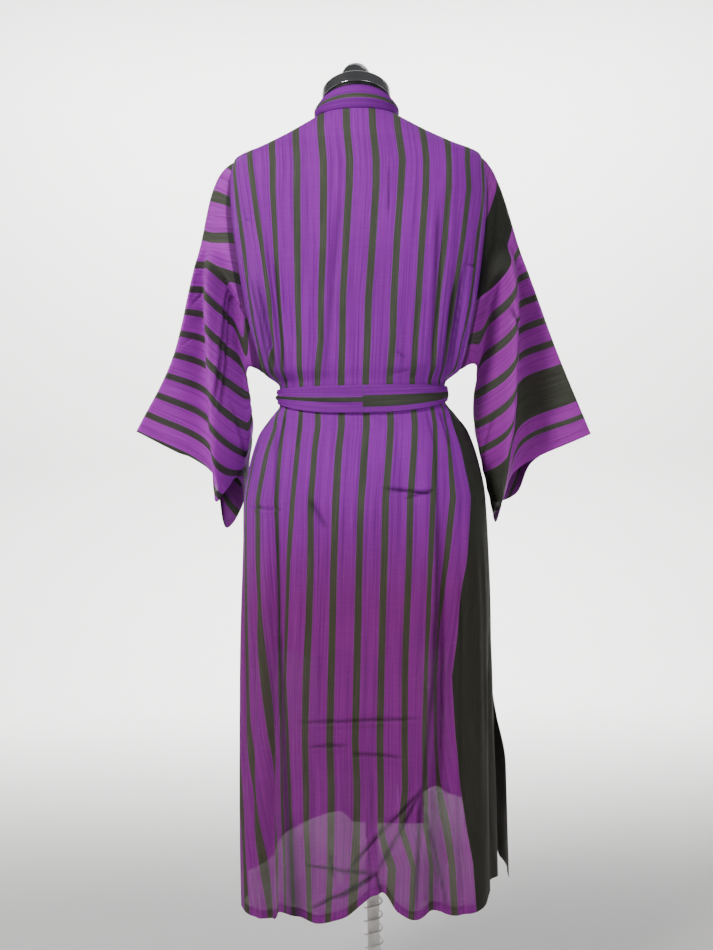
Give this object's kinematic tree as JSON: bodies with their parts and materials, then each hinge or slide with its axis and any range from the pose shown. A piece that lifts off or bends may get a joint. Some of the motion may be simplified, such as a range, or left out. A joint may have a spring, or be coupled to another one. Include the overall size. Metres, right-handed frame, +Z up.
{
  "type": "kimono robe on a dress form",
  "caption": "Long wrap robe with wide sleeves, stripes and a tied belt, worn by a limbless dress form on a pole stand with a round base.",
  "frame": {"origin": "centre of the underside of the stand's round base, on the floor", "axes": "+Z up along the pole, the robe's front faces -Y and its back +Y, and the wearer's left is +X"},
  "size_m": [0.7592, 0.34, 1.6105],
  "materials": {
    "robe_cloth": "semi-sheer cotton, purple with dark olive stripes",
    "robe_band": "the same cotton, doubled",
    "form_jersey": "black jersey",
    "neck_ring": "black, satin",
    "neck_cap": "polished",
    "stand_metal": "white, satin"
  },
  "bodies": {
    "root": {"back_panel": "robe_cloth", "front_panel_left": "robe_cloth", "front_panel_right": "robe_cloth", "sleeve_left": "robe_cloth", "sleeve_right": "robe_cloth", "neckband_back": "robe_band", "neckband_left": "robe_band", "neckband_right": "robe_band", "belt_band": "robe_band", "belt_knot": "robe_band", "belt_tail_left": "robe_band", "belt_tail_right": "robe_band", "form_torso": "form_jersey", "form_neck_ring": "neck_ring", "form_neck_cap": "neck_cap", "form_finial": "neck_cap", "stand_flange": "stand_metal", "stand_pole": "stand_metal", "stand_base": "stand_metal", "stand_spiral": "stand_metal"}
  },
  "joints": []
}
